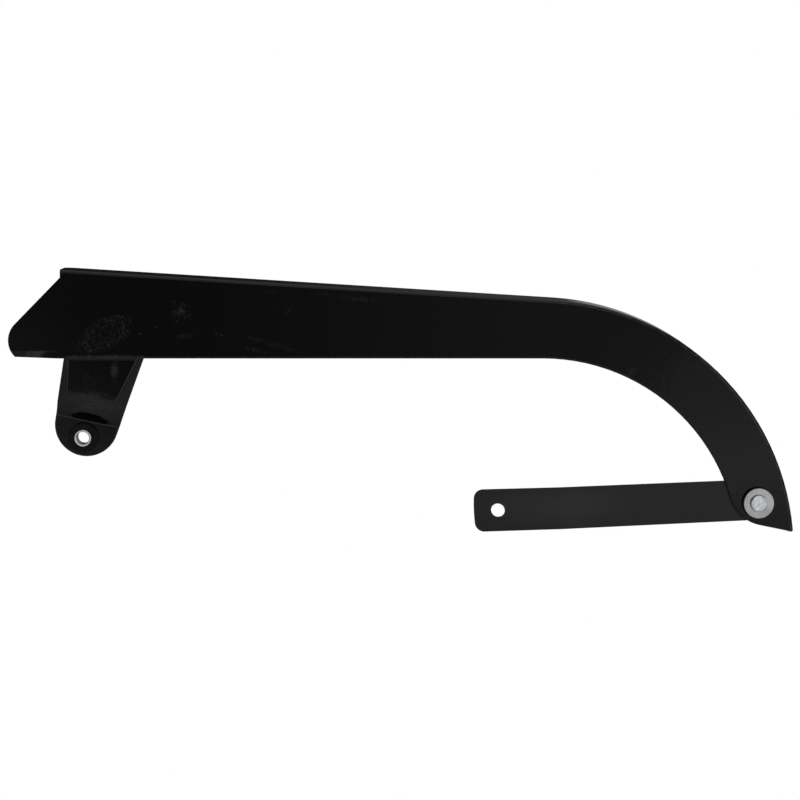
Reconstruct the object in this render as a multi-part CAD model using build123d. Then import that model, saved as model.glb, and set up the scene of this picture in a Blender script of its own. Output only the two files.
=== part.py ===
from build123d import *
from math import acos, atan2, cos, degrees, hypot, radians, sin, sqrt, tan
import os

# Motorcycle chain guard: a folded steel shell, its welded front bracket with a rubber-mounted
# sleeve, and a flat strap riveted to the tail.
# Frame: +X towards the tail, +Y inboard, +Z up. The origin is the centre of the front sleeve's
# inboard end. Sizes are in millimetres and degrees.

# Shell: side plate and top flange folded from one sheet
sheet = 1.6                 # thickness of the shell
flange_width = 32.0         # outer face to the flange's inboard edge
bend_radius = 2.0           # outside of the fold between side and flange
flange_corner = 7.0         # rounded inboard corners of the flange
flange_overrun = 5.0        # degrees that the flange is swept past the tail's tip before it is cut
edge_round = 1.3            # rounded outer edge along the lower side, behind the lip

lower_edge_z = 55.4         # straight lower edge above the front bolt
front_x = -13.2             # front end of the flange
front_height = 5.4          # front end, from the nose's raked edge up to the top of the flange
nose_tip_x = -48.9          # foremost point of the nose
nose_rake = 45.5            # slope of the nose's upper edge
nose_radius = 16.0
nose_lift = 1.1             # nose's lower corner above the straight lower edge
nose_rise = 11.1            # centre of the nose's arc above its lower corner
lip_end_x = -16.0           # rear end of the turned lip under the nose
lip_height = 5.3            # fold of the lip above the straight lower edge
lip_turn = 9.0              # lip turned inboard

arch_centre_x = 313.9       # centre of the arch inside the tail
arch_radius = 134.4
tail_width = 40.5           # the tail's outer arc has this much more radius than the arch
tail_shift_x = -2.0         # centre of the outer arc, from that of the arch
tail_shift_z = -0.5
tail_tip_angle = 5.2        # where the outer arc ends, up from horizontal
tail_cut_slope = 11.6       # slope of the tail's cut lower end
tail_heel_radius = 27.0     # arch into the cut end
tail_tip_margin = 0.6       # rounding of the tail's tip is this much less than that of the fold

# Front bracket: dished tab welded behind the plate, stepped inboard to a flat foot
bracket_sheet = 2.4
bracket_tilt = 15.1         # the tab's axis leans back from the foot
bracket_half_taper = 5.2    # each side widens upwards
tab_shift = 0.2             # the tab's axis passes this far ahead of the bolt
foot_radius = 21.7
foot_centre_up = 8.9        # round end's centre above the bolt, along the tab
bracket_top_up = 86.0       # welded end above the bolt, along the tab
bracket_step = 12.0         # floor to foot, inboard
upper_crease_up = 29.7      # floor turns into the step
lower_crease_up = 14.0      # step turns into the foot
crease_skew = 3.0           # creases run a little off square
crease_round = 8.0          # inside of the lower crease
floor_margin = 3.9          # flat floor is this much narrower than the foot, each side
floor_shift = -0.85         # flat floor off the tab's axis, to the front
floor_spread = 11.7         # floor widens upwards
bevel_slope = 50.0          # turned-back edges fall away from the floor
bracket_flange_depth = 9.0  # floor to the free rim of the turned-back edges
floor_round = 0.4           # inside of the folds round the floor
groove_length = 25.0        # pressed groove along the lower crease
groove_width = 3.9
groove_depth = 1.6
groove_shift = 1.2          # groove centre off the tab's axis
foot_edge_round = 0.8       # softened front edge of the foot
weld_height = 1.4           # fillet weld under the plate's lower edge
weld_toe_turn = 45.0        # weld reaches this far round the plate's rounded edge
weld_bulge = 0.15           # weld's face stands out from flat
weld_end_gap = 1.5          # weld stops short of the floor's sides

# Front mount: rubber grommet in the foot with a steel sleeve through it
sleeve_bore = 8.6
sleeve_outside = 11.5
sleeve_length = 12.7
sleeve_chamfer = 0.4
grommet_seat = 15.9         # hole in the foot
grommet_flange = 20.8
grommet_lip = 3.9           # grommet stands out each side of the foot
grommet_chamfer = 0.8
grommet_fit = 0.05          # grommet to its seat, and to the sleeve, on the radius

# Rear strap
strap_thick = 3.0
strap_end_radius = 13.85    # round end at the rivet
strap_half_taper = 0.2      # strap widens towards its free end
strap_length = 193.4        # rivet to the corners of the free end
strap_end_bow = 0.9         # free end is slightly bowed
strap_corner = 6.5
strap_slope = 2.55          # strap drops towards its free end
strap_rise = 2.1            # strap's centre line above the rivet
strap_bend_at = 135.0       # rivet to the bend
strap_bend = 6.0            # free end turned inboard
strap_bend_radius = 18.0    # inside of the bend
strap_hole = 9.5
strap_hole_inset = 15.4     # bolt hole from the corners of the free end
strap_edge_round = 0.5
strap_play = 0.1            # strap to plate, and strap to rivet head

# Pivot rivet and washer
rivet_inset = 17.9          # rivet from the arch
rivet_angle = 13.42         # place of the rivet round the arch
rivet_shank = 9.5
rivet_fit = 0.05            # shank to its holes, on the radius
rivet_outer_head = 11.2
rivet_outer_height = 1.3    # flattened outer head
rivet_outer_chamfer = 0.5
rivet_inner_head = 17.0
rivet_inner_height = 2.8
rivet_inner_chamfer = 1.2
washer_outside = 20.6
washer_bore = 10.3
washer_thick = 1.6
washer_chamfer = 0.3

# Depths across the guard, from the sleeve outwards
foot_front_y = -(sleeve_length + bracket_sheet) / 2
plate_inner_y = foot_front_y - bracket_step
plate_outer_y = plate_inner_y - sheet
strap_front_y = plate_inner_y + strap_play

# Widths and places that follow from others
floor_half_width = foot_radius - floor_margin       # at the upper crease
strap_hole_at = strap_length - strap_hole_inset     # rivet to the bolt hole

# Nose, lip and front end
nose_corner_z = lower_edge_z + nose_lift
nose_centre_x = nose_tip_x + nose_radius
nose_centre_z = nose_corner_z + nose_rise
notch_z = (nose_centre_z + nose_radius / cos(radians(nose_rake))
           + (front_x - nose_centre_x) * tan(radians(nose_rake)))
front_top_z = notch_z + front_height
lip_fold_z = lower_edge_z + lip_height

# Arch, tail and rivet
arch_centre_z = lower_edge_z - arch_radius
tail_centre_x = arch_centre_x + tail_shift_x
tail_centre_z = arch_centre_z + tail_shift_z
tail_radius = arch_radius + tail_width
tail_tip_round = bend_radius - tail_tip_margin
rivet_reach = arch_radius + rivet_inset
rivet_x = arch_centre_x + rivet_reach * cos(radians(rivet_angle))
rivet_z = arch_centre_z + rivet_reach * sin(radians(rivet_angle))

past_all = 4 * (flange_width + bracket_step)    # longer than any piece is deep
same_level = 0.01                               # edges this near a height lie at it


def side_view(depth):
    """Plane of the guard's side view at this depth: sketch x is X, sketch y is Z."""
    return Plane(origin=(0, depth, 0), x_dir=(1, 0, 0), z_dir=(0, -1, 0))


def slab(sketch, near, far):
    """Solid of a side-view sketch between two depths."""
    return extrude(side_view(near) * sketch, amount=far - near, dir=(0, 1, 0))


def at_outer_face(point):
    """Side-view point on the plate's outer face."""
    return (point[0], plate_outer_y, point[1])


def on_tail(radius, angle):
    """Side-view point on an arc about the tail's centre."""
    turn = radians(angle)
    return (tail_centre_x + radius * cos(turn), tail_centre_z + radius * sin(turn))


def on_arch(angle):
    """Side-view point on the arch inside the tail."""
    turn = radians(angle)
    return (arch_centre_x + arch_radius * cos(turn), arch_centre_z + arch_radius * sin(turn))


def top_tangent_angle():
    """Place round the tail where the straight top runs into the outer arc."""
    across = front_x - tail_centre_x
    up = front_top_z - tail_centre_z
    return degrees(atan2(up, across) - acos(tail_radius / hypot(across, up)))


def tail_heel_point():
    """Where the tail's cut end would meet the arch."""
    tip_x, tip_z = on_tail(tail_radius, tail_tip_angle)
    dir_x = -cos(radians(tail_cut_slope))
    dir_z = sin(radians(tail_cut_slope))
    out_x = tip_x - arch_centre_x
    out_z = tip_z - arch_centre_z
    along = out_x * dir_x + out_z * dir_z
    reach = -along - sqrt(along ** 2 - (out_x ** 2 + out_z ** 2 - arch_radius ** 2))
    return (tip_x + reach * dir_x, tip_z + reach * dir_z)


def arch_middle():
    """Side-view point halfway round the arch."""
    heel_x, heel_z = tail_heel_point()
    heel_angle = degrees(atan2(heel_z - arch_centre_z, heel_x - arch_centre_x))
    return on_arch((heel_angle + 90) / 2)


def nose_points():
    """Nose arc from the lower corner, over its foremost point, to the raked edge."""
    rake = radians(nose_rake)
    corner_x = nose_centre_x - sqrt(nose_radius ** 2 - nose_rise ** 2)
    rake_point = (nose_centre_x - nose_radius * sin(rake), nose_centre_z + nose_radius * cos(rake))
    return (corner_x, nose_corner_z), (nose_tip_x, nose_centre_z), rake_point


def guard_outline():
    """Whole side view of the guard."""
    tangent = top_tangent_angle()
    heel = tail_heel_point()
    corner, tip, rake_point = nose_points()
    top_start = (front_x, front_top_z)
    notch = (front_x, notch_z)
    lip_end = (lip_end_x, lower_edge_z)
    arch_top = on_arch(90)
    tail_tip = on_tail(tail_radius, tail_tip_angle)
    edges = [
        Line(top_start, on_tail(tail_radius, tangent)),
        ThreePointArc(on_tail(tail_radius, tangent),
                      on_tail(tail_radius, (tangent + tail_tip_angle) / 2), tail_tip),
        Line(tail_tip, heel),
        ThreePointArc(heel, arch_middle(), arch_top),
        Line(arch_top, lip_end),
        Line(lip_end, corner),
        ThreePointArc(corner, tip, rake_point),
        Line(rake_point, notch),
        Line(notch, top_start),
    ]
    outline = make_face(edges)
    heel_corner = outline.vertices().sort_by_distance((heel[0], heel[1], 0))[0]
    outline = fillet(heel_corner, tail_heel_radius)
    tip_corner = outline.vertices().sort_by_distance((tail_tip[0], tail_tip[1], 0))[0]
    return fillet(tip_corner, tail_tip_round)


def top_curve():
    """Line and arc that the folded flange follows, run on past the tail's tip."""
    tangent = top_tangent_angle()
    past_tip = tail_tip_angle - flange_overrun
    joint = at_outer_face(on_tail(tail_radius, tangent))
    middle = at_outer_face(on_tail(tail_radius, (tangent + past_tip) / 2))
    end = at_outer_face(on_tail(tail_radius, past_tip))
    straight = Line(at_outer_face((front_x, front_top_z)), joint)
    return Wire([straight, ThreePointArc(joint, middle, end)])


def folded_flange():
    """Fold and flange swept along the top, with a strip of the side plate under the fold."""
    tangent = radians(top_tangent_angle())
    along = (sin(tangent), 0, -cos(tangent))
    start = at_outer_face((front_x, front_top_z))
    inner_bend = bend_radius - sheet
    strip = -2 * bend_radius
    half_turn = sqrt(0.5)
    outer_middle = bend_radius * (1 - half_turn)
    inner_middle = bend_radius - inner_bend * half_turn
    section = make_face([
        Line((flange_width, 0), (bend_radius, 0)),
        ThreePointArc((bend_radius, 0), (outer_middle, -outer_middle), (0, -bend_radius)),
        Line((0, -bend_radius), (0, strip)),
        Line((0, strip), (sheet, strip)),
        Line((sheet, strip), (sheet, -bend_radius)),
        ThreePointArc((sheet, -bend_radius), (inner_middle, -inner_middle), (bend_radius, -sheet)),
        Line((bend_radius, -sheet), (flange_width, -sheet)),
        Line((flange_width, -sheet), (flange_width, 0)),
    ])
    return sweep(Plane(origin=start, x_dir=(0, 1, 0), z_dir=along) * section, path=top_curve())


def lip_cut():
    """Side-view region of the turned lip under the nose."""
    ahead = nose_tip_x - nose_radius
    below = lower_edge_z - nose_radius
    return Polygon((ahead, below), (lip_end_x, below), (lip_end_x, lip_fold_z), (ahead, lip_fold_z), align=None)


def round_corner(at, towards_end, radius):
    """Cutter that rounds a square corner of the flange, seen square on to the flange."""
    through = Vector(towards_end).cross(Vector(0, 1, 0))
    plane = Plane(origin=at, x_dir=towards_end, z_dir=through)
    square = Pos(-radius / 2, -radius / 2) * Rectangle(radius, radius)
    quarter = square - Pos(-radius, -radius) * Circle(radius)
    return extrude(plane * quarter, amount=past_all, both=True)


def under_fold():
    """Side-view region below the line where the plate starts to fold over."""
    radius = tail_radius - bend_radius
    tangent = top_tangent_angle()
    past_tip = tail_tip_angle - flange_overrun
    joint = on_tail(radius, tangent)
    end = on_tail(radius, past_tip)
    front_z = joint[1] + (joint[0] - front_x) / tan(radians(tangent))
    below = tail_centre_z - tail_radius
    ahead = nose_tip_x - nose_radius
    return make_face([
        Line((ahead, front_z), (front_x, front_z)),
        Line((front_x, front_z), joint),
        ThreePointArc(joint, on_tail(radius, (tangent + past_tip) / 2), end),
        Line(end, (end[0], below)),
        Line((end[0], below), (ahead, below)),
        Line((ahead, below), (ahead, front_z)),
    ])


def side_plate(outline):
    """Flat side plate up to the fold, with its lower edge rounded behind the lip."""
    flat = outline & under_fold()
    height = 2 * (front_top_z - tail_centre_z)
    behind_lip = Pos(lip_end_x, 0) * Rectangle(2 * tail_centre_x, 2 * height, align=(Align.MIN, Align.CENTER))
    rear = slab(flat & behind_lip, plate_outer_y, plate_inner_y)
    lower_edge = rear.edges().sort_by_distance(at_outer_face(arch_middle()))[0]
    rear = fillet(lower_edge, edge_round)
    return rear + folded_nose(flat - behind_lip)


def folded_nose(flat):
    """Front of the side plate with its lip turned inboard."""
    nose = slab(flat, plate_outer_y, plate_inner_y)
    lip_space = slab(lip_cut(), plate_outer_y - sheet, plate_inner_y + sheet)
    fold_axis = Axis(at_outer_face((lip_end_x, lip_fold_z)), (1, 0, 0))
    lip = (nose & lip_space).rotate(fold_axis, lip_turn)
    return nose - lip_space + lip


def guard_shell():
    outline = guard_outline()
    inboard_y = plate_outer_y + flange_width
    flange = folded_flange() & slab(outline, plate_outer_y, inboard_y)
    shell = side_plate(outline) + flange
    shell -= round_corner((front_x, inboard_y, front_top_z), (-1, 0, 0), flange_corner)
    tip = on_tail(tail_radius, tail_tip_angle)
    turn = radians(tail_tip_angle)
    shell -= round_corner((tip[0], inboard_y, tip[1]), (sin(turn), 0, -cos(turn)), flange_corner)
    return shell - along_depth(rivet_x, rivet_z, rivet_shank / 2 + rivet_fit)


def along_depth(x, z, radius):
    """Long cylinder across the guard, for holes."""
    return Pos(x, 0, z) * Rot(90, 0, 0) * Cylinder(radius, past_all)


def beyond(point, normal):
    """Everything on the outer side of a plane, as a large block."""
    reach = 2 * past_all
    block = Box(reach, reach, reach, align=(Align.CENTER, Align.CENTER, Align.MIN))
    return Plane(origin=point, z_dir=normal) * block


def round_ended(radius, centre_up, half_taper, top_up, bow):
    """Tapering outline with a round lower end: x across, y along its axis."""
    taper = radians(half_taper)
    side_x = radius * cos(taper)
    side_up = centre_up - radius * sin(taper)
    top_x = radius / cos(taper) + (top_up - centre_up) * tan(taper)
    left_top = (-top_x, top_up)
    right_top = (top_x, top_up)
    if bow:
        end = ThreePointArc(right_top, (0, top_up + bow), left_top)
    else:
        end = Line(right_top, left_top)
    return make_face([
        ThreePointArc((-side_x, side_up), (0, centre_up - radius), (side_x, side_up)),
        Line((side_x, side_up), right_top),
        end,
        Line(left_top, (-side_x, side_up)),
    ])


# Front bracket. The tab's own frame: x across, y up the tab from the bolt, z outwards from the floor.

def tab_outline(inset):
    return round_ended(foot_radius - inset, foot_centre_up, bracket_half_taper, bracket_top_up, 0)


def step_normal():
    """Outward normal of the sloping step."""
    rise = upper_crease_up - lower_crease_up
    return Vector(0, -bracket_step, rise).normalized().rotate(Axis.Z, crease_skew)


def bevel_normal(side):
    """Outward normal of one turned-back edge."""
    square = Vector(side * sin(radians(bevel_slope)), 0, cos(radians(bevel_slope)))
    return square.rotate(Axis.Z, -side * floor_spread)


def tab_block(inset):
    """Solid behind the tab's outer skin, with the skin drawn in by an inset."""
    depth = bracket_step + 2 * bracket_sheet
    block = Pos(0, 0, -depth) * extrude(tab_outline(inset), amount=depth - inset)
    upper_crease = Vector(0, upper_crease_up, 0)
    block -= beyond(upper_crease - step_normal() * inset, step_normal())
    for side in (-1, 1):
        floor_edge = Vector(floor_shift + side * floor_half_width, upper_crease_up, 0)
        block -= beyond(floor_edge - bevel_normal(side) * inset, bevel_normal(side))
    floor = block.faces().sort_by(Axis.Z)[-1]
    soft = [edge for edge in floor.edges() if edge.center().Y < bracket_top_up - inset]
    block = fillet(soft, floor_round + bracket_sheet - inset)

    foot_level = -bracket_step - inset
    block += Pos(0, 0, -depth) * extrude(tab_outline(inset), amount=depth + foot_level)
    crease = [edge for edge in block.edges()
              if abs(edge.center().Z - foot_level) < same_level and edge.length > foot_radius
              and edge.geom_type == GeomType.LINE and edge.center().Y > foot_centre_up]
    return fillet(crease, crease_round + inset)


def groove_bar():
    """Round-ended bar that presses the groove along the lower crease."""
    radius = groove_width / 2
    along = Vector(1, 0, 0).rotate(Axis.Z, crease_skew)
    out = (step_normal() + Vector(0, 0, 1)).normalized()
    centre = Vector(0, lower_crease_up, -bracket_step) + along * groove_shift
    centre += out * (radius - groove_depth)
    half = groove_length / 2 - radius
    bar = Cylinder(radius, 2 * half) + Pos(0, 0, half) * Sphere(radius) + Pos(0, 0, -half) * Sphere(radius)
    return Plane(origin=centre, z_dir=along) * bar


def rim_space():
    """Space behind the turned-back edges, which run down to the back of the foot."""
    back = -bracket_step - bracket_sheet
    deep = 2 * back
    low = foot_centre_up - 2 * foot_radius
    high = 2 * bracket_top_up
    profile = Polygon((high, -bracket_flange_depth), (upper_crease_up, -bracket_flange_depth),
                      (lower_crease_up, back), (low, back), (low, deep), (high, deep), align=None)
    return extrude(Plane.YZ * profile, amount=past_all, both=True)


def floor_side_x(side, z):
    """X of the floor's side edge at this height, in the guard's frame."""
    tilt = radians(bracket_tilt)
    spread = tan(radians(floor_spread))
    base = floor_shift - tab_shift + side * (floor_half_width - upper_crease_up * spread)
    up = (z + base * sin(tilt)) / (cos(tilt) - side * spread * sin(tilt))
    return (base + side * up * spread) * cos(tilt) + up * sin(tilt)


def weld_bead():
    """Fillet weld from the floor to the rounded lower edge of the plate."""
    left = floor_side_x(-1, lower_edge_z) + weld_end_gap
    right = floor_side_x(1, lower_edge_z) - weld_end_gap
    toe_turn = radians(weld_toe_turn)
    corner = Vector(plate_inner_y, lower_edge_z)
    flat_end = Vector(plate_outer_y + edge_round, lower_edge_z)
    on_round = flat_end + edge_round * Vector(-sin(toe_turn / 2), 1 - cos(toe_turn / 2))
    toe = flat_end + edge_round * Vector(-sin(toe_turn), 1 - cos(toe_turn))
    foot = Vector(plate_inner_y, lower_edge_z - weld_height)
    face = foot - toe
    crown = toe + face / 2 + Vector(face.Y, -face.X).normalized() * weld_bulge
    section = make_face([Line(foot, corner), Line(corner, flat_end), ThreePointArc(flat_end, on_round, toe),
                         ThreePointArc(toe, crown, foot)])
    return extrude(Plane.YZ.offset(left) * section, amount=right - left)


def front_bracket():
    whole = tab_block(0)
    foot_edge = whole.edges().sort_by_distance((0, foot_centre_up - foot_radius, -bracket_step))[0]
    whole = fillet(foot_edge, foot_edge_round)
    tab = whole - tab_block(bracket_sheet)
    tab -= groove_bar()
    tab -= rim_space()
    tab -= Pos(tab_shift, 0, 0) * Cylinder(grommet_seat / 2, past_all)
    tilt = radians(bracket_tilt)
    frame = Plane(origin=(0, plate_inner_y, 0), x_dir=(cos(tilt), 0, -sin(tilt)), z_dir=(0, -1, 0))
    return frame * Pos(-tab_shift, 0, 0) * tab + weld_bead()


# Front mount, built about the bolt's axis with the middle of the foot at zero depth

def on_bolt(shape):
    return Pos(0, -sleeve_length / 2, 0) * Rot(90, 0, 0) * shape


def mount_grommet():
    body = Cylinder(grommet_flange / 2, bracket_sheet + 2 * grommet_lip)
    body = chamfer(body.edges().filter_by(GeomType.CIRCLE), grommet_chamfer)
    waist = Cylinder(grommet_seat / 2 - grommet_fit, bracket_sheet)
    body -= Cylinder(grommet_flange, bracket_sheet) - waist
    return on_bolt(body - Cylinder(sleeve_outside / 2 + grommet_fit, past_all))


def mount_sleeve():
    tube = Cylinder(sleeve_outside / 2, sleeve_length) - Cylinder(sleeve_bore / 2, past_all)
    return on_bolt(chamfer(tube.edges().filter_by(GeomType.CIRCLE), sleeve_chamfer))


# Rear strap. The strap's own frame: x across, y from the rivet to the free end, z outwards.

def rear_strap():
    outline = round_ended(strap_end_radius, 0, strap_half_taper, strap_length, strap_end_bow)
    outline = fillet(outline.vertices().sort_by(Axis.Y)[-2:], strap_corner)
    bend = radians(strap_bend)
    start = -2 * strap_end_radius
    end = 2 * strap_length
    end_drop = -(end - strap_bend_at) * tan(bend)
    front_bend = (strap_bend_at, 0)
    back_bend = (strap_bend_at - strap_thick * tan(bend / 2), -strap_thick)
    profile = Polygon((start, 0), front_bend, (end, end_drop),
                      (end - strap_thick * sin(bend), end_drop - strap_thick * cos(bend)),
                      back_bend, (start, -strap_thick), align=None)
    front_corner = profile.vertices().sort_by_distance((front_bend[0], front_bend[1], 0))[0]
    profile = fillet(front_corner, strap_bend_radius + strap_thick)
    back_corner = profile.vertices().sort_by_distance((back_bend[0], back_bend[1], 0))[0]
    profile = fillet(back_corner, strap_bend_radius)
    sheet_metal = extrude(Plane.YZ * profile, amount=past_all, both=True)
    strap = sheet_metal & extrude(Pos(strap_rise, 0) * outline, amount=past_all, both=True)

    front_edge = strap.edges().sort_by_distance((strap_rise, -strap_end_radius, 0))[0]
    strap = fillet(front_edge, strap_edge_round)
    strap -= Cylinder(rivet_shank / 2 + rivet_fit, past_all)
    hole_depth = -(strap_hole_at - strap_bend_at) * tan(bend)
    strap -= Pos(strap_rise, strap_hole_at, hole_depth) * Rot(-strap_bend, 0, 0) * Cylinder(
        strap_hole / 2, past_all)
    slope = radians(strap_slope)
    frame = Plane(origin=(rivet_x, strap_front_y, rivet_z), x_dir=(-sin(slope), 0, cos(slope)), z_dir=(0, -1, 0))
    return frame * strap


# Rivet and washer, with z outwards from the plate's outer face

def on_rivet(shape):
    return Pos(rivet_x, plate_outer_y, rivet_z) * Rot(90, 0, 0) * shape


def rod(radius, low, high):
    return Pos(0, 0, low) * Cylinder(radius, high - low, align=(Align.CENTER, Align.CENTER, Align.MIN))


def rivet_head(width, height, edge):
    """Flat round head that stands on zero, with a chamfered rim."""
    disc = rod(width / 2, 0, height)
    rim = disc.edges().filter_by(GeomType.CIRCLE).sort_by(Axis.Z)[-1]
    return chamfer(rim, edge)


def pivot_rivet():
    back = -sheet - strap_thick - 2 * strap_play
    rivet = rod(rivet_shank / 2, back, washer_thick)
    outer_head = rivet_head(rivet_outer_head, rivet_outer_height, rivet_outer_chamfer)
    rivet += Pos(0, 0, washer_thick) * outer_head
    inner_head = rivet_head(rivet_inner_head, rivet_inner_height, rivet_inner_chamfer)
    rivet += Pos(0, 0, back) * Rot(180, 0, 0) * inner_head
    return on_rivet(rivet)


def pivot_washer():
    ring = rod(washer_outside / 2, 0, washer_thick) - Cylinder(washer_bore / 2, past_all)
    outer_edges = ring.edges().filter_by(GeomType.CIRCLE).sort_by(SortBy.RADIUS)[-2:]
    return on_rivet(chamfer(outer_edges, washer_chamfer))


os.makedirs("parts", exist_ok=True)
export_step(guard_shell(), "parts/guard_shell.step")
export_step(front_bracket(), "parts/front_bracket.step")
export_step(mount_grommet(), "parts/mount_grommet.step")
export_step(mount_sleeve(), "parts/mount_sleeve.step")
export_step(rear_strap(), "parts/rear_strap.step")
export_step(pivot_rivet(), "parts/pivot_rivet.step")
export_step(pivot_washer(), "parts/pivot_washer.step")
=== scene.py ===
import bpy
from math import radians
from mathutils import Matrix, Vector


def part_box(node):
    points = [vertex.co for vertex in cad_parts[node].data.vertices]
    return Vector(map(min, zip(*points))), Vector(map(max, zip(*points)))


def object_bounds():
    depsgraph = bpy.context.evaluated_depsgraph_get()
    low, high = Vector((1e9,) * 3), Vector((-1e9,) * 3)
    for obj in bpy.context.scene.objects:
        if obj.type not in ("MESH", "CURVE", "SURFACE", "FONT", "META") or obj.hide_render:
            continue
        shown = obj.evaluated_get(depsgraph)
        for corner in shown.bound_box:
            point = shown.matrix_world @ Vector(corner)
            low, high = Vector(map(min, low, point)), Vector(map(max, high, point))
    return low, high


# Motorcycle chain guard: looks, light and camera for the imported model.
# Scene lengths are in metres. Lengths inside the finishes are in millimetres, and slopes in degrees.

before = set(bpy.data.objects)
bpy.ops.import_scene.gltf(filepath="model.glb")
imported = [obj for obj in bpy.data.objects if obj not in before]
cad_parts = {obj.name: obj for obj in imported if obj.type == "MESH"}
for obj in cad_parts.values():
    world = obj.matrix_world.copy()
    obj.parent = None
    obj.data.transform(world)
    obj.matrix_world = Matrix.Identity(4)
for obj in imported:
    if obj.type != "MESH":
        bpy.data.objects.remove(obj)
cad_low, cad_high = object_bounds()


def grey(level, red=1.0, green=1.0, blue=1.0):
    """Colour from a grey level with a slight tint."""
    return (level * red, level * green, level * blue, 1.0)


# Camera, square on to the guard's side and a little above it
camera_eye = Vector((0.21715, -1.8418, 0.2121))
camera_aim = Vector((0.21715, -0.02115, 0.0272))
camera_lens = 121.1             # millimetres, as is the sensor's width
camera_sensor = 36.0

# Floor below the guard
floor_drop = 0.25               # under the guard's lowest point
floor_front = -1.0              # front edge, short of where the paint would mirror it
floor_back = 6.0
floor_half_width = 2.0
floor_grey = grey(0.86)
floor_white = 0.8               # share of plain white that the camera sees in the floor everywhere
shadow_reach = (0.80, 0.25)     # past this oval about the guard the camera sees plain white alone
shadow_core = 0.4               # share of that oval over which the floor shows most of its own grey
white = grey(1.0)

# Softboxes: place, width, height and power in watts
top_box_place = Vector((0.15, -0.75, 1.80))
top_box_size = (3.4, 2.2)
top_box_power = 11.0
right_box_place = Vector((1.60, -1.40, -0.05))
right_box_size = (2.0, 1.6)
right_box_power = 5.0

# Room in front of the guard: bright, but for a dim patch round the camera that the flat paint mirrors.
# An edge is where a soft step starts and ends, in the X, Y or Z part of a direction.
room_light = 0.85
room_lean = 0.2                 # share by which it is brighter to the left and dimmer to the right
room_dim = 0.085
dim_centre = (0.021, -0.06)     # the patch's middle, in X and Z
dim_halves = (0.134, 0.048)
dim_fade = (1.0, 2.57)          # the patch fades out between these, in its half widths
right_glow = 0.145              # added to the patch towards the right
right_edge = (-0.1, 0.08)       # in X
tail_glow = 0.20                # added again past a slanting edge that the tail mirrors
tail_edge = (0.182, 0.196)      # in X less Z
flag_centre = (0.14, -0.150)    # a dark flag that the tail's end mirrors
flag_halves = (0.035, 0.018)
flag_fade = (0.8, 1.3)          # in the flag's half widths
low_share = 0.58                # shares of the brightness that are left below the guard,
low_edge = (-0.1, -0.3)         # in Z
high_share = 0.2                # above it,
high_edge = (0.1, 0.4)          # in Z
side_share = 0.25               # at both sides of it
side_edge = (0.3, 0.7)          # in X, either way
corner_share = 0.2              # and high up on its left
corner_edge_x = (-0.15, -0.5)
corner_edge_z = (0.15, 0.45)

# Behind the guard: dark low down, where the flange's top mirrors it, and white high up
behind_edge = (0.1, 0.5)        # in Y
backdrop_edge = (0.7, 1.0)      # in Z
horizon_dim = 0.014
horizon_glow = 0.035            # added towards the right
horizon_edge = (-0.06, 0.06)    # in X
curve_glow = 0.2                # added again where the start of the tail's curve mirrors it
curve_edge = (0.07, 0.09)       # in X
curve_end = (0.45, 0.25)        # the glow ends before what the right-hand edges mirror

# Plate sizes that the finishes follow
millimetre = 1000.0             # in a metre
plate_outer_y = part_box("guard_shell")[0].y * millimetre
washer_low, washer_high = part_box("pivot_washer")
rivet_centre = (washer_low + washer_high) / 2 * millimetre
bolt_centre = (0.0, 0.0, 0.0)   # the part's origin, in the sleeve's bore
outboard = (0.0, -1.0, 0.0)     # the way that the plate faces
past_plate = 400.0              # half depth of a mark, so that it is the same all through the sheet

# Marks on the paint in side view: X and Z of the middle, half length and half height, slope
# The weld ring, weld spot and tab blot are painted lighter: painted sheen where the welds' heat distortion
# of the sheet catches the light.
weld_ring = ((17.3, 72.4), (20.5, 10.4), 29.0)
weld_spot = ((68.1, 86.9), (7.2, 7.2), 0.0)
tab_blot = ((6.7, 41.5), (4.6, 4.6), 0.0)
# the groove's mark is where the bracket's groove gets its painted shade of dull black
groove = ((4.8, 13.0), (12.9, 1.55), -12.1)
wiped_marks = (                 # smears that a cloth left
    ((71.0, 70.6), (6.5, 2.2), 4.0),
    ((119.0, 69.0), (8.0, 2.0), -14.0),
    ((135.0, 63.8), (12.0, 2.4), -15.0),
    ((118.0, 61.5), (13.0, 1.8), -12.0),
    ((130.5, 100.8), (6.0, 1.0), 0.0),
    ((166.0, 99.4), (9.0, 1.2), -4.0),
    ((189.0, 96.0), (18.0, 2.4), -5.0),
    ((142.0, 88.0), (7.0, 1.2), 44.0),
    ((373.5, 45.5), (6.5, 3.0), 45.0),
)
bracket_painted_highlights = (                 # painted highlights where the plate's edge above the bracket, its step and its floor catch the light
    ((17.0, 56.6), (32.0, 1.7), 0.0),
    ((9.0, 24.5), (21.0, 9.0), -11.0),
    ((23.0, 47.0), (8.0, 3.2), 80.0),
)
lip_end = ((-17.0, 57.0), (24.0, 9.0), 0.0)         # where the folded lip runs out into the plate
strap_painted_highlight = ((322.0, -46.5), (48.0, 15.0), 2.0)  # paler patch of the strap: a painted highlight where a slight bend in it catches the light
washer_painted_shadow = ((-1.1, 0.8), (10.8, 10.8), 0.0)     # painted shadow past the washer's upper left rim, offset from its middle
rivet_shadow_radius = 5.8            # radius of the painted shadow line round the rivet's head
bore_shadow_radius = 3.9             # and of the painted shadow line round the sleeve's bore
shadow_line_shift = (-0.4, 0.35)   # both painted shadow lines lie to the upper left
specks = ((51.5, 77.2), (40.4, 72.3), (92.7, 72.1), (96.0, 71.4))
speck_size = (1.5, 0.8)

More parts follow.
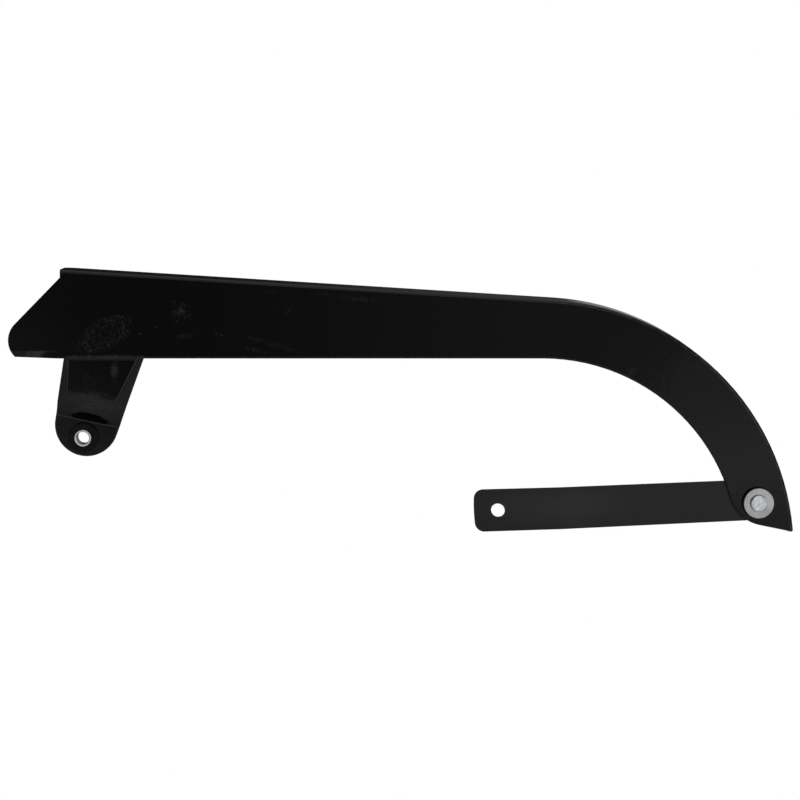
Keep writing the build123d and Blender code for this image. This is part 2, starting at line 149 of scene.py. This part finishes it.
# How the marks show. Raggedness, whorls and waver are in half widths of a mark.
ragged_reach = 1.4              # between the deepest and the furthest place of a ragged rim
ring_ragged = 0.45              # shares of that for the weld ring, the weld spot and the blot
spot_ragged = 0.8
blot_ragged = 0.6
ring_whorls = 0.17              # spacing of the whorls
spot_whorls = 0.3
ring_waver = 0.4                # how far the lace pushes the whorls out of line
spot_waver = 0.3
ring_share = 0.24               # shares of the lighter colour, painted sheen of the welds' heat distortion: in the ring's middle,
ring_rim_share = 0.22           # added towards its rim,
spot_share = 0.12               # all over the spot,
spot_lace_share = 0.5           # added where the lace is dense,
spot_rim_share = 0.4            # round the spot,
blot_share = 0.3                # and in the blot, the smears and the specks
smear_share = 0.45
speck_share = 0.5
dust_share = 0.6                # share of the dust's colour on the plate
highlight_share = 0.4                # and of the painted highlights' colour on and above the bracket
bracket_highlight_least = 0.35               # share of the bracket's painted highlights where the lace is open
strap_highlight_least = 0.7              # share of the strap's painted highlight where its paint is least worn

# Patterns in the finishes: sizes of their patches in millimetres
dust_size = 38.0
grain_size = 0.9                # of the dust
lace_size = 2.6                 # broken pattern in the marks
ragged_size = 6.0
ripple_size = 3.2               # waves in the gloss enamel
wear_size = 30.0                # on the strap
texture_size = 0.7
zinc_cloud_size = 5.0
lathe_rings = 2.2               # about this many in a millimetre
dimple_size = 2.4               # on the rivet's head
scratch_size = 0.35
bloom_size = 4.0                # on the rubber
pore_size = 0.5

# Relief in the finishes: strength, and height in metres
enamel_relief = (0.012, 0.001)
mark_relief = 0.3               # height of the marks as a share of the enamel's waves
strap_relief = (0.12, 0.0004)
zinc_relief = (0.18, 0.0003)
rivet_relief = (0.3, 0.0006)
rubber_relief = (0.15, 0.0003)

# Colours and gloss of the finishes. The second roughness is what a finish's own pattern adds.
enamel_black = grey(0.0012, 1.2, 0.9, 1.0)
enamel_dust = grey(0.004, 1.05, 0.97, 1.0)
# colour of the wiped smears and specks, and of the painted sheen round the welds
smear_and_weld_sheen = grey(0.012, 1.05, 0.97, 1.02)
# colour of the painted highlights on and above the bracket
bracket_highlight_colour = grey(0.042, 1.03, 0.98, 1.0)
# dull black of the painted shade in the groove and beside the washer
painted_shade_black = grey(0.004)
enamel_shine = grey(1.0, 1.0, 0.93, 0.98)
enamel_shine_level = 0.365
enamel_roughness = 0.06
dust_roughness = 0.05           # added by dust, by marks and by the bracket's painted highlights
mark_roughness = 0.25
highlight_roughness = 0.1
strap_black = grey(0.0042, 1.02, 0.98, 1.06)
strap_worn = grey(0.0062, 1.02, 0.98, 1.05)
# colour of the painted highlight on the strap's bend
strap_highlight_colour = grey(0.019, 1.03, 0.98, 1.02)
strap_shine = grey(1.0, 0.97, 0.93, 1.0)
strap_shine_level = 0.36
strap_roughness = 0.42
texture_roughness = 0.1
washer_zinc = (grey(0.41, 0.99, 1.0, 0.98), grey(0.50, 0.99, 1.0, 0.98))     # darkest and palest
sleeve_zinc = (grey(0.64, 1.0, 1.0, 0.96), grey(0.76, 1.0, 1.0, 0.96))
# dark of the painted shadow lines round the rivet's head and the sleeve's bore
painted_shadow_dark = grey(0.06)
zinc_roughness = 0.30
lathe_roughness = 0.16
rivet_steel = (grey(0.56, 0.94, 1.0, 1.03), grey(0.68, 0.95, 1.0, 1.02))
rivet_roughness = 0.2
scratch_roughness = 0.14
rubber_black = grey(0.0018)
rubber_bloom = grey(0.0035, 1.02, 1.0, 0.97)
rubber_shine_level = 0.17
rubber_roughness = 0.55
pore_roughness = 0.2


class Socket:
    """A node's output that can stand in a Python sum. Each sum adds one Math node."""

    def __init__(self, finish, socket):
        self.finish = finish
        self.socket = socket

    def sum(self, operation, first, second):
        """A Math node's result."""
        return self.finish.node("ShaderNodeMath", {"operation": operation}, {0: first, 1: second})

    def __add__(self, other):
        return self.sum("ADD", self, other)

    def __radd__(self, other):
        return self.sum("ADD", other, self)

    def __sub__(self, other):
        return self.sum("SUBTRACT", self, other)

    def __rsub__(self, other):
        return self.sum("SUBTRACT", other, self)

    def __mul__(self, other):
        return self.sum("MULTIPLY", self, other)

    def __rmul__(self, other):
        return self.sum("MULTIPLY", other, self)

    def __truediv__(self, other):
        return self.sum("DIVIDE", self, other)


class Finish:
    """The node tree of one material or of the world, with the sums that finishes share."""

    def __init__(self, tree):
        self.tree = tree

    def node(self, kind, settings, values, output=0):
        """Adds a node, sets it, fills or links its inputs and returns one of its outputs."""
        made = self.tree.nodes.new(kind)
        for name, setting in settings.items():
            setattr(made, name, setting)
        for name, value in values.items():
            self.feed(made.inputs[name], value)
        return Socket(self, made.outputs[output])

    def feed(self, target, value):
        """Links a socket to an input, or sets the input to a plain value."""
        if isinstance(value, Socket):
            self.tree.links.new(value.socket, target)
        else:
            target.default_value = value

    def place(self):
        """Place on the part in millimetres."""
        metres = self.node("ShaderNodeTexCoord", {}, {}, "Object")
        return self.node("ShaderNodeVectorMath", {"operation": "SCALE"}, {0: metres, "Scale": millimetre})

    def axes(self, vector):
        """The three parts of a vector."""
        return [self.node("ShaderNodeSeparateXYZ", {}, {0: vector}, axis) for axis in "XYZ"]

    def step(self, value, start, end):
        """0 at the start and 1 at the end, with a soft step between."""
        return self.node("ShaderNodeMapRange", {"interpolation_type": "SMOOTHSTEP"},
                         {"Value": value, "From Min": start, "From Max": end})

    def larger(self, first, second):
        """The larger of two values."""
        return self.node("ShaderNodeMath", {"operation": "MAXIMUM"}, {0: first, 1: second})

    def root(self, value):
        """Square root of a value."""
        return self.node("ShaderNodeMath", {"operation": "SQRT"}, {0: value})

    def oval(self, across, up, centre, halves):
        """Distance from the middle of an upright oval, 1 at its rim."""
        share_across = (across - centre[0]) / halves[0]
        share_up = (up - centre[1]) / halves[1]
        return self.root(share_across * share_across + share_up * share_up)

    def clouds(self, vector, size, detail=2.0):
        """Cloudy noise in patches of about this size."""
        values = {"Vector": vector, "Scale": 1 / size, "Detail": detail}
        return self.node("ShaderNodeTexNoise", {}, values, "Fac")

    def stretched(self, vector, centre, tilt, halves):
        """Side-view place about a centre, turned upright and measured in half widths."""
        moved = self.node("ShaderNodeVectorMath", {"operation": "SUBTRACT"}, {0: vector, 1: centre})
        return self.node("ShaderNodeMapping", {"vector_type": "TEXTURE"},
                         {"Vector": moved, "Rotation": (0, -radians(tilt), 0), "Scale": halves})

    def whorls(self, distance, spacing):
        """Rings round a mark, this far apart, 1 along their crests."""
        wave = self.node("ShaderNodeMath", {"operation": "PINGPONG"}, {0: distance, 1: spacing / 2})
        return self.step(wave, 0.15 * spacing, 0.4 * spacing)

    def length(self, vector):
        """Length of a vector."""
        return self.node("ShaderNodeVectorMath", {"operation": "LENGTH"}, {0: vector}, "Value")

    def mix(self, mask, first, second):
        """Colour that goes from the first to the second as the mask goes from 0 to 1."""
        return self.node("ShaderNodeMix", {"data_type": "RGBA"}, {0: mask, 6: first, 7: second}, 2)

    def bump(self, height, strength, distance, **more):
        """Normal of a surface with this relief, which stands up by a distance in metres."""
        values = {"Height": height, "Strength": strength, "Distance": distance}
        return self.node("ShaderNodeBump", {}, {**values, **more})


def new_finish(name):
    """A material's tree and its shader."""
    material = bpy.data.materials.new(name)
    material.use_nodes = True
    return material, Finish(material.node_tree), material.node_tree.nodes["Principled BSDF"]


def mark(finish, place, centre, halves, slope):
    """Distance from the middle of an oval mark in side view, 1 at its rim."""
    x, z = centre
    across, up = halves
    oval = finish.stretched(place, (x, plate_outer_y, z), slope, (across, past_plate, up))
    return finish.length(oval)


def weld_marks(finish, place, lace, ragged):
    """Whorls, a spot and a blot where welds behind the sheet show through the paint: rougher and raised,
    and painted lighter as the sheen of the sheet's heat distortion.
    """
    ring = mark(finish, place, *weld_ring) + ring_ragged * ragged
    crests = finish.whorls(ring + ring_waver * lace, ring_whorls)
    ring_mask = crests * finish.step(lace, 0.3, 0.62) * finish.step(ring, 1.12, 0.85)
    ring_mask = ring_mask * (ring_share + ring_rim_share * finish.step(ring, 0.2, 0.8))

    spot = mark(finish, place, *weld_spot) + spot_ragged * ragged
    spot_lace = finish.step(lace, 0.4, 0.62)
    spot_core = finish.step(spot, 0.9, 0.1) * (spot_share + spot_lace_share * spot_lace)
    crests = finish.whorls(spot + spot_waver * lace, spot_whorls)
    spot_rim = crests * finish.step(spot, 1.35, 0.9) * finish.step(lace, 0.42, 0.66)
    spot_mask = finish.larger(spot_core, spot_rim_share * spot_rim)

    blot = mark(finish, place, *tab_blot) + blot_ragged * ragged
    blot_mask = blot_share * finish.step(blot, 1.3, 0.4) * finish.step(lace, 0.38, 0.66)
    return finish.larger(ring_mask, finish.larger(spot_mask, blot_mask))


def smears_and_specks(finish, place, wiped):
    """Wiped smears, broken up by the cloth's weave, and small specks."""
    marks = 0
    for wiped_mark in wiped_marks:
        smear = finish.step(mark(finish, place, *wiped_mark), 1.3, 0.0)
        marks = finish.larger(marks, smear_share * smear * wiped)
    for centre in specks:
        speck = finish.step(mark(finish, place, centre, speck_size, 0.0), 1.0, 0.3)
        marks = finish.larger(marks, speck_share * speck)
    return marks


def painted_highlight_patches(finish, place, wiped, ragged):
    """Ragged painted highlights on and above the bracket, where its edges and step catch the light."""
    bracket_highlit = 0
    for highlight_mark in bracket_painted_highlights:
        bracket_highlit = finish.larger(bracket_highlit, finish.step(mark(finish, place, *highlight_mark) + ragged, 1.2, 0.3))
    return bracket_highlit * (bracket_highlight_least + (1 - bracket_highlight_least) * wiped)


def lip_runs_out(finish, place):
    """Normal that lets the folded lip under the nose run out softly into the plate."""
    facing = finish.node("ShaderNodeNewGeometry", {}, {}, "Normal")
    towards = {0: facing, 1: outboard}
    square_on = finish.node("ShaderNodeVectorMath", {"operation": "DOT_PRODUCT"}, towards, "Value")
    running_out = finish.step(mark(finish, place, *lip_end), 1.0, 0.25) * finish.step(square_on, 0.9, 0.96)
    ends = {0: running_out, 4: facing, 5: outboard}
    return finish.node("ShaderNodeMix", {"data_type": "VECTOR"}, ends, 1)


def painted_shade_mask(finish, place):
    """Painted shade: dull black in the bracket's groove and past the washer's upper left rim."""
    offset, halves, slope = washer_painted_shadow
    centre = (rivet_centre.x + offset[0], rivet_centre.z + offset[1])
    washer_shade = finish.step(mark(finish, place, centre, halves, slope), 1.03, 0.95)
    return finish.larger(washer_shade, finish.step(mark(finish, place, *groove), 1.25, 0.85))


def gloss_black_paint():
    """Gloss black enamel with painted sheen round the welds, wiped smears, dust, painted highlights on and
    above the bracket, and painted shade in the groove and beside the washer.
    """
    material, finish, shader = new_finish("gloss_black")
    place = finish.place()
    cloud = finish.clouds(place, dust_size, detail=3.0)
    lace = finish.clouds(place, lace_size)
    grain = finish.clouds(place, grain_size)
    ripple = finish.clouds(place, ripple_size, detail=1.0)
    ragged = ragged_reach * (finish.clouds(place, ragged_size, detail=3.0) - 0.5)
    wiped = finish.step(lace, 0.3, 0.7)
    marks = finish.larger(weld_marks(finish, place, lace, ragged), smears_and_specks(finish, place, wiped))
    bracket_highlit = painted_highlight_patches(finish, place, wiped, ragged)
    dust = finish.step(cloud, 0.45, 0.75) * finish.step(grain, 0.5, 0.75)

    colour = finish.mix(dust_share * dust, enamel_black, enamel_dust)
    colour = finish.mix(marks, colour, smear_and_weld_sheen)
    # painted highlights on and above the bracket
    colour = finish.mix(highlight_share * bracket_highlit, colour, bracket_highlight_colour)
    finish.feed(shader.inputs["Base Color"], colour)
    roughness = enamel_roughness + dust_roughness * dust + mark_roughness * marks + highlight_roughness * bracket_highlit
    finish.feed(shader.inputs["Roughness"], roughness)
    shader.inputs["Specular IOR Level"].default_value = enamel_shine_level
    shader.inputs["Specular Tint"].default_value = enamel_shine
    relief = finish.bump(ripple + mark_relief * marks, *enamel_relief, Normal=lip_runs_out(finish, place))
    finish.feed(shader.inputs["Normal"], relief)

    enamel = Socket(finish, shader.outputs[0])
    # Dull black diffuse shader that paints shade into the groove and beside the washer
    shade_black_bsdf = finish.node("ShaderNodeBsdfDiffuse", {}, {"Color": painted_shade_black})
    shown = finish.node("ShaderNodeMixShader", {}, {0: painted_shade_mask(finish, place), 1: enamel, 2: shade_black_bsdf})
    finish.feed(material.node_tree.nodes["Material Output"].inputs["Surface"], shown)
    return material


def satin_black_paint():
    """Satin black enamel of the strap, finely textured, with a painted highlight on its bend."""
    material, finish, shader = new_finish("satin_black")
    place = finish.place()
    cloud = finish.clouds(place, wear_size, detail=3.0)
    texture = finish.clouds(place, texture_size)
    wear = finish.step(cloud, 0.4, 0.75)
    # painted highlight where the strap's slight bend catches the light, stronger where its paint is worn
    patch = finish.step(mark(finish, place, *strap_painted_highlight), 1.3, 0.1)
    strap_highlit = patch * (strap_highlight_least + (1 - strap_highlight_least) * wear)
    colour = finish.mix(wear, strap_black, strap_worn)
    colour = finish.mix(strap_highlit, colour, strap_highlight_colour)
    finish.feed(shader.inputs["Base Color"], colour)
    finish.feed(shader.inputs["Roughness"], strap_roughness + texture_roughness * texture)
    shader.inputs["Specular IOR Level"].default_value = strap_shine_level
    shader.inputs["Specular Tint"].default_value = strap_shine
    finish.feed(shader.inputs["Normal"], finish.bump(texture, *strap_relief))
    return material


def turned_zinc(name, centre, shades, shadow_radius):
    """Zinc plate over turned steel: fine rings about a centre, and a painted shadow line round a shoulder.
    """
    material, finish, shader = new_finish(name)
    place = finish.place()
    from_centre = finish.node("ShaderNodeVectorMath", {"operation": "SUBTRACT"}, {0: place, 1: centre})
    x, _, z = finish.axes(from_centre)
    radius = finish.root(x * x + z * z)
    rings = {"W": lathe_rings * radius, "Detail": 3.0}
    lathe = finish.node("ShaderNodeTexNoise", {"noise_dimensions": "1D"}, rings, "Fac")
    cloud = finish.clouds(place, zinc_cloud_size, detail=3.0)
    colour = finish.mix(finish.step(cloud, 0.3, 0.75), *shades)
    # painted shadow line round the shoulder, shifted to its upper left
    from_shadow_line = finish.oval(x, z, shadow_line_shift, (shadow_radius, shadow_radius))
    colour = finish.mix(finish.step(from_shadow_line, 1.03, 0.98), colour, painted_shadow_dark)
    finish.feed(shader.inputs["Base Color"], colour)
    shader.inputs["Metallic"].default_value = 1.0
    finish.feed(shader.inputs["Roughness"], zinc_roughness + lathe_roughness * lathe)
    finish.feed(shader.inputs["Normal"], finish.bump(lathe, *zinc_relief))
    return material


def peened_steel():
    """Bright rivet head, planished by the peening tool."""
    material, finish, shader = new_finish("rivet_steel")
    place = finish.place()
    dimples = finish.clouds(place, dimple_size, detail=3.0)
    scratches = finish.clouds(place, scratch_size)
    colour = finish.mix(finish.step(dimples, 0.35, 0.7), *rivet_steel)
    finish.feed(shader.inputs["Base Color"], colour)
    shader.inputs["Metallic"].default_value = 1.0
    finish.feed(shader.inputs["Roughness"], rivet_roughness + scratch_roughness * scratches)
    finish.feed(shader.inputs["Normal"], finish.bump(dimples, *rivet_relief))
    return material


def black_rubber():
    """Moulded rubber of the grommet, slightly bloomed."""
    material, finish, shader = new_finish("rubber")
    place = finish.place()
    bloom = finish.clouds(place, bloom_size, detail=3.0)
    pores = finish.clouds(place, pore_size)
    colour = finish.mix(finish.step(bloom, 0.4, 0.8), rubber_black, rubber_bloom)
    finish.feed(shader.inputs["Base Color"], colour)
    finish.feed(shader.inputs["Roughness"], rubber_roughness + pore_roughness * pores)
    shader.inputs["Specular IOR Level"].default_value = rubber_shine_level
    finish.feed(shader.inputs["Normal"], finish.bump(pores, *rubber_relief))
    return material


def paint(node, material):
    """Puts a finish on a node in place of its plain one."""
    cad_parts[node].data.materials.clear()
    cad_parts[node].data.materials.append(material)


gloss_black = gloss_black_paint()
paint("guard_shell", gloss_black)
paint("front_bracket", gloss_black)
paint("rear_strap", satin_black_paint())
paint("pivot_washer", turned_zinc("washer_zinc", rivet_centre, washer_zinc, rivet_shadow_radius))
paint("mount_sleeve", turned_zinc("sleeve_zinc", bolt_centre, sleeve_zinc, bore_shadow_radius))
paint("pivot_rivet", peened_steel())
paint("mount_grommet", black_rubber())


def studio_floor():
    """Pale floor that keeps the guard's shadow and turns white away from it."""
    bpy.ops.object.select_all(action="DESELECT")
    bpy.ops.mesh.primitive_plane_add(size=1.0)
    floor = bpy.context.object
    floor.name = "floor"
    height = cad_low.z - floor_drop
    middle_x = (cad_low.x + cad_high.x) / 2
    floor.scale = (2 * floor_half_width, floor_back - floor_front, 1.0)
    floor.location = (middle_x, (floor_back + floor_front) / 2, height)
    bpy.ops.object.transform_apply(location=True, rotation=True, scale=True)

    material, finish, shader = new_finish("floor")
    metres = finish.node("ShaderNodeTexCoord", {}, {}, "Object")
    oval = finish.stretched(metres, (middle_x, 0, height), 0.0, (*shadow_reach, 1.0))
    far = finish.step(finish.length(oval), shadow_core, 1.0)
    seen = finish.node("ShaderNodeLightPath", {}, {}, "Is Camera Ray")
    shader.inputs["Base Color"].default_value = floor_grey
    shader.inputs["Roughness"].default_value = 1.0
    shader.inputs["Specular IOR Level"].default_value = 0.0
    pale = Socket(finish, shader.outputs[0])
    glowing = finish.node("ShaderNodeEmission", {}, {"Color": white, "Strength": 1.0})
    share = seen * (floor_white + (1 - floor_white) * far)
    shown = finish.node("ShaderNodeMixShader", {}, {0: share, 1: pale, 2: glowing})
    finish.feed(material.node_tree.nodes["Material Output"].inputs["Surface"], shown)
    floor.data.materials.append(material)


def studio_world():
    """White to the camera. To the guard, a room in front, and behind it a dark horizon under white."""
    world = bpy.data.worlds.new("studio")
    bpy.context.scene.world = world
    world.use_nodes = True
    finish = Finish(world.node_tree)
    direction = finish.node("ShaderNodeTexCoord", {}, {}, "Generated")
    x, y, z = finish.axes(direction)
    seen = finish.node("ShaderNodeLightPath", {}, {}, "Is Camera Ray")
    glossy = finish.node("ShaderNodeLightPath", {}, {}, "Is Glossy Ray")
    through = finish.node("ShaderNodeLightPath", {}, {}, "Is Transmission Ray")

    low = 1 - (1 - low_share) * finish.step(z, *low_edge)
    high = 1 - (1 - high_share) * finish.step(z, *high_edge)
    sides = 1 - (1 - side_share) * finish.step(finish.larger(x, -1 * x), *side_edge)
    corner = 1 - (1 - corner_share) * finish.step(x, *corner_edge_x) * finish.step(z, *corner_edge_z)
    bright = room_light * (1 - room_lean * x) * low * high * sides * corner
    off_patch = finish.step(finish.oval(x, z, dim_centre, dim_halves), *dim_fade)
    off_flag = finish.step(finish.oval(x, z, flag_centre, flag_halves), *flag_fade)
    dim = room_dim + right_glow * finish.step(x, *right_edge) + tail_glow * finish.step(x - z, *tail_edge)
    room = dim + bright * off_patch * off_flag

    behind = finish.step(y, *behind_edge)
    backdrop = behind * finish.step(z, *backdrop_edge)
    curve = finish.step(x, *curve_edge) * finish.step(x, *curve_end)
    horizon = horizon_dim + horizon_glow * finish.step(x, *horizon_edge) + curve_glow * curve
    soft = room * (1 - behind) + horizon * behind + room_light * backdrop
    mirrored = finish.larger(glossy, through) * backdrop
    strength = finish.larger(seen, mirrored + (1 - mirrored) * soft)
    background = world.node_tree.nodes["Background"]
    background.inputs["Color"].default_value = white
    finish.feed(background.inputs["Strength"], strength)


def softbox(name, place, size, power):
    """Area lamp that faces the middle of the guard and that the camera doesn't see."""
    lamp = bpy.data.lights.new(name, "AREA")
    lamp.shape = "RECTANGLE"
    lamp.size, lamp.size_y = size
    lamp.energy = power
    box = bpy.data.objects.new(name, lamp)
    bpy.context.scene.collection.objects.link(box)
    box.location = place
    box.rotation_euler = (camera_aim - place).to_track_quat("-Z", "Y").to_euler()
    box.visible_camera = False


studio_floor()
studio_world()
softbox("top_box", top_box_place, top_box_size, top_box_power)
softbox("right_box", right_box_place, right_box_size, right_box_power)

camera = bpy.data.objects.new("camera", bpy.data.cameras.new("camera"))
bpy.context.scene.collection.objects.link(camera)
camera.location = camera_eye
camera.rotation_euler = (camera_aim - camera_eye).to_track_quat("-Z", "Y").to_euler()
camera.data.lens = camera_lens
camera.data.sensor_width = camera_sensor
bpy.context.scene.camera = camera
bpy.context.scene.view_settings.view_transform = "Standard"
